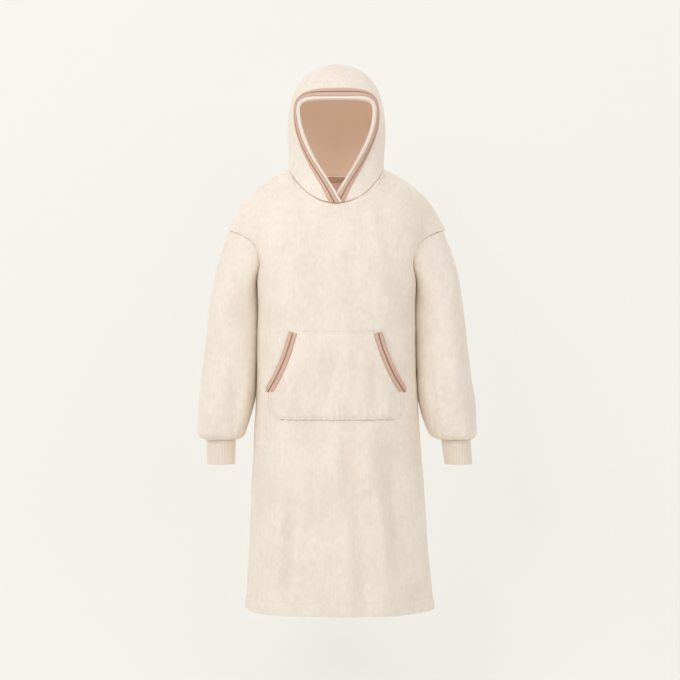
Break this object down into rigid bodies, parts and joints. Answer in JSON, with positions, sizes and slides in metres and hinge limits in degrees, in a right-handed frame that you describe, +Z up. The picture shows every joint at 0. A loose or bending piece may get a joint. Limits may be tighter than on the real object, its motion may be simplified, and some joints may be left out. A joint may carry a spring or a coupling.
{
  "type": "oversized hoodie",
  "caption": "Knee-length hooded pullover in cream plush fleece, with a V-shaped face opening, full sleeves on knit cuffs, a front pocket and braided trim.",
  "frame": {"origin": "on the middle line between the shoulder points of the neck seam, where the wearer's shoulders carry the garment", "axes": "+Z up, -Y towards the front of the garment, +X towards the wearer's left"},
  "size_m": [0.668, 0.3247, 1.3065],
  "materials": {
    "fleece": "short-pile plush fleece, matt",
    "cuff_knit": "fine rib knit",
    "trim_braid": "two-tone woven braid",
    "neck_twill": "woven twill tape"
  },
  "bodies": {
    "root": {"front": "fleece", "back": "fleece", "sleeve_left": "fleece", "sleeve_right": "fleece", "hood_left": "fleece", "hood_right": "fleece", "pocket": "fleece", "cuff_left": "cuff_knit", "cuff_right": "cuff_knit", "hood_tape": "trim_braid", "pocket_tape_left": "trim_braid", "pocket_tape_right": "trim_braid", "neck_tape": "neck_twill"}
  },
  "joints": []
}
